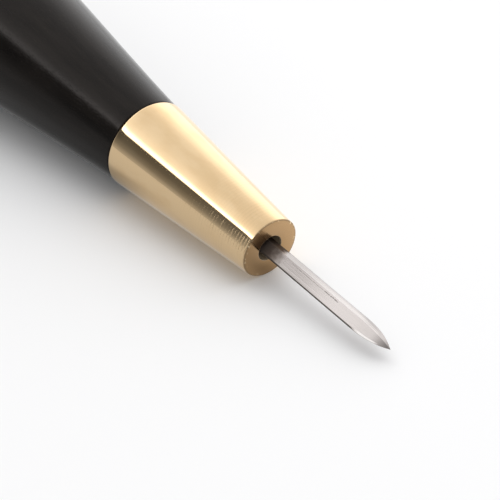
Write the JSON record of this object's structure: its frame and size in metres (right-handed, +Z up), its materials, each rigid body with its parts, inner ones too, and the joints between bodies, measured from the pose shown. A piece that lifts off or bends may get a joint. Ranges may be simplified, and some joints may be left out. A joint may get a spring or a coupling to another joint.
{
  "type": "diamond awl",
  "caption": "Hand awl with a pear-shaped dark hardwood handle, a conical brass screw-on nose that closes a collet, and a replaceable diamond-section steel blade with a spear point.",
  "frame": {"origin": "middle of the underside of the whole tool's box, on the table that it lies on", "axes": "+X from the butt towards the point, +Z up; the tool's own axis dips 5.93 degrees towards the point"},
  "size_m": [0.136, 0.025, 0.0262],
  "materials": {
    "handle_wood": "dark close-grained hardwood, satin oiled",
    "nose_brass": "turned and polished",
    "chuck_brass": "as turned",
    "collet_steel": "spring steel, ground",
    "small_steel": "plain",
    "blade_steel": "ground lengthwise, edges and point honed"
  },
  "bodies": {
    "haft": {"handle": "handle_wood", "chuck_body": "chuck_brass", "backstop_screw": "small_steel", "key_pin": "small_steel"},
    "collet": {"collet_head": "chuck_brass"},
    "finger_1": {"collet_finger_1": "collet_steel"},
    "finger_2": {"collet_finger_2": "collet_steel"},
    "finger_3": {"collet_finger_3": "collet_steel"},
    "finger_4": {"collet_finger_4": "collet_steel"},
    "nose": {"nose_cap": "nose_brass", "snap_ring": "small_steel"},
    "awl_blade": {"blade": "blade_steel"}
  },
  "joints": [
    {"name": "collet_slide", "type": "slide", "parent": "haft", "child": "collet", "axis": [0.9947, 0, -0.1033], "range_m": [0, 0.006]},
    {"name": "nose_cap_turn", "type": "hinge", "parent": "collet", "child": "nose", "pos_m": [0.01694, 0, 0.00728], "axis": [0.9947, 0, -0.1033], "range_deg": [0, 2200]},
    {"name": "finger_1_flex", "type": "hinge", "parent": "collet", "child": "finger_1", "pos_m": [0.03077, 0.0011, 0.00396], "axis": [-0.0523, -0.8625, -0.5033], "range_deg": [0, 1.35]},
    {"name": "finger_2_flex", "type": "hinge", "parent": "collet", "child": "finger_2", "pos_m": [0.03077, -0.0011, 0.00396], "axis": [0.0523, -0.8625, 0.5033], "range_deg": [0, 1.35]},
    {"name": "finger_3_flex", "type": "hinge", "parent": "collet", "child": "finger_3", "pos_m": [0.03116, 0.0011, 0.00769], "axis": [-0.0523, 0.8625, -0.5033], "range_deg": [0, 1.35]},
    {"name": "finger_4_flex", "type": "hinge", "parent": "collet", "child": "finger_4", "pos_m": [0.03116, -0.0011, 0.00769], "axis": [0.0523, 0.8625, 0.5033], "range_deg": [0, 1.35]},
    {"name": "blade_pull", "type": "slide", "parent": "haft", "child": "awl_blade", "axis": [0.9947, 0, -0.1033], "range_m": [0, 0.017]}
  ],
  "couplings": [
    {"joint": "nose_cap_turn", "follows": "collet_slide", "rad_per_m": 6283.2},
    {"joint": "finger_1_flex", "follows": "collet_slide", "rad_per_m": 3.8327},
    {"joint": "finger_2_flex", "follows": "collet_slide", "rad_per_m": 3.8327},
    {"joint": "finger_3_flex", "follows": "collet_slide", "rad_per_m": 3.8327},
    {"joint": "finger_4_flex", "follows": "collet_slide", "rad_per_m": 3.8327}
  ]
}
